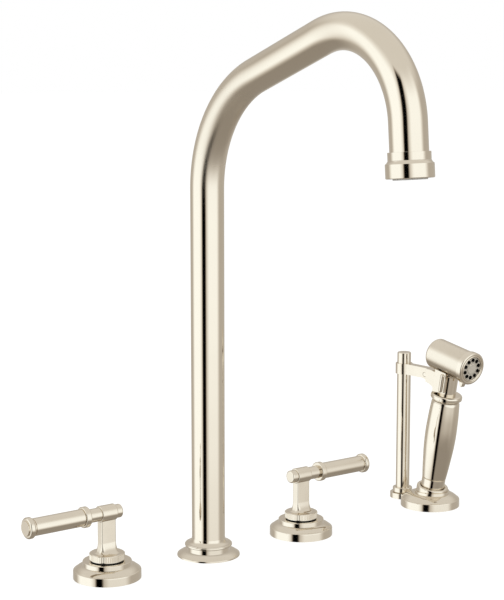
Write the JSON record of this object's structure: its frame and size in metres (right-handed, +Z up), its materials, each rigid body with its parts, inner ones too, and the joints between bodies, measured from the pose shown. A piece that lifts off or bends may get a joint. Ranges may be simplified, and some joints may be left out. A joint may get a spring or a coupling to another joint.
{
  "type": "deck-mounted kitchen faucet with side sprayer",
  "caption": "Deck-mounted kitchen faucet with a tall angled swivel spout, lever handles and a hand sprayer that leans in a cup beside its holder post.",
  "frame": {"origin": "spout axis at deck level, centre of the spout flange's underside", "axes": "+Z up, the handles stand along X with the sprayer at +X, the spout reaches towards -Y"},
  "size_m": [0.4639, 0.309, 0.5528],
  "materials": {
    "polished_nickel": "polished warm nickel plate",
    "soft_nickel": "nickel plate, slightly softer polish",
    "nozzle_plate": "grey moulded plate",
    "brass": "machined brass",
    "plastic": "moulded acetal",
    "rubber": "black rubber",
    "steel": "stainless steel"
  },
  "bodies": {
    "root": {"left_handle_base": "polished_nickel", "right_handle_base": "polished_nickel", "left_valve_body": "brass", "right_valve_body": "brass", "left_cartridge": "plastic", "right_cartridge": "plastic", "bonnet_nuts": "brass", "spout_flange": "polished_nickel", "spout_shank": "brass", "spout_glide_ring": "plastic", "spout_tee": "brass", "diverter_body": "brass", "base_gaskets": "rubber", "clamp_washers": "steel", "mounting_nuts": "steel", "spray_base": "polished_nickel", "spray_shank": "brass", "spray_cup": "polished_nickel", "holder_post": "polished_nickel", "holder_arm": "polished_nickel", "arm_set_screw": "steel", "neck_rest": "polished_nickel", "neck_rest_pin": "polished_nickel", "post_screw": "steel"},
    "spout": {"spout_tube": "polished_nickel", "spout_spigot": "brass", "spout_foot_ring": "polished_nickel", "spout_orings": "rubber", "outlet_collar": "polished_nickel", "aerator_shell": "polished_nickel", "aerator_core": "plastic", "aerator_washer": "rubber"},
    "left_handle": {"left_hub": "polished_nickel", "left_stem": "brass", "left_lever_rod": "polished_nickel", "left_lever_collar": "polished_nickel", "left_grip": "soft_nickel", "left_end_cap": "polished_nickel", "left_set_screw": "steel"},
    "right_handle": {"right_hub": "polished_nickel", "right_stem": "brass", "right_lever_rod": "polished_nickel", "right_lever_collar": "polished_nickel", "right_grip": "soft_nickel", "right_end_cap": "polished_nickel", "right_set_screw": "steel"},
    "sprayer": {"spray_ferrule": "polished_nickel", "spray_grip": "soft_nickel", "spray_collar": "polished_nickel", "spray_neck": "polished_nickel", "spray_head": "polished_nickel", "spray_face_ring": "polished_nickel", "spray_nozzle_plate": "nozzle_plate", "trigger_pin": "steel", "valve_spring": "steel"},
    "trigger": {"spray_trigger": "polished_nickel"},
    "valve_stem": {"spray_valve_stem": "steel"},
    "diverter": {"diverter_piston": "brass", "diverter_spring": "steel"}
  },
  "joints": [
    {"name": "spout_swivel", "type": "hinge", "parent": "root", "child": "spout", "pos_m": [0, 0, 0.009], "axis": [0, 0, 1], "continuous": true},
    {"name": "left_handle_turn", "type": "hinge", "parent": "root", "child": "left_handle", "pos_m": [-0.1016, 0, 0.015], "axis": [0, 0, 1], "range_deg": [0, 90]},
    {"name": "right_handle_turn", "type": "hinge", "parent": "root", "child": "right_handle", "pos_m": [0.1016, 0, 0.015], "axis": [0, 0, 1], "range_deg": [-90, 0]},
    {"name": "spray_tilt", "type": "hinge", "parent": "root", "child": "sprayer", "pos_m": [0.2597, -0.01365, 0.01429], "axis": [1, 0, 0], "range_deg": [0, 11]},
    {"name": "trigger_pull", "type": "hinge", "parent": "sprayer", "child": "trigger", "pos_m": [0.2597, -0.03935, 0.12826], "axis": [1, 0, 0], "range_deg": [0, 16]},
    {"name": "valve_push", "type": "slide", "parent": "sprayer", "child": "valve_stem", "axis": [0, -0.9833, -0.1822], "range_m": [0, 0.00217], "stiffness_N_per_m": 400, "springref_m": -0.004},
    {"name": "diverter_lift", "type": "slide", "parent": "root", "child": "diverter", "axis": [0, 0, 1], "range_m": [0, 0.003], "stiffness_N_per_m": 300, "springref_m": -0.004, "deforming": ["diverter_spring"]}
  ],
  "couplings": [
    {"joint": "trigger_pull", "follows": "valve_push", "rad_per_m": 120.48}
  ]
}
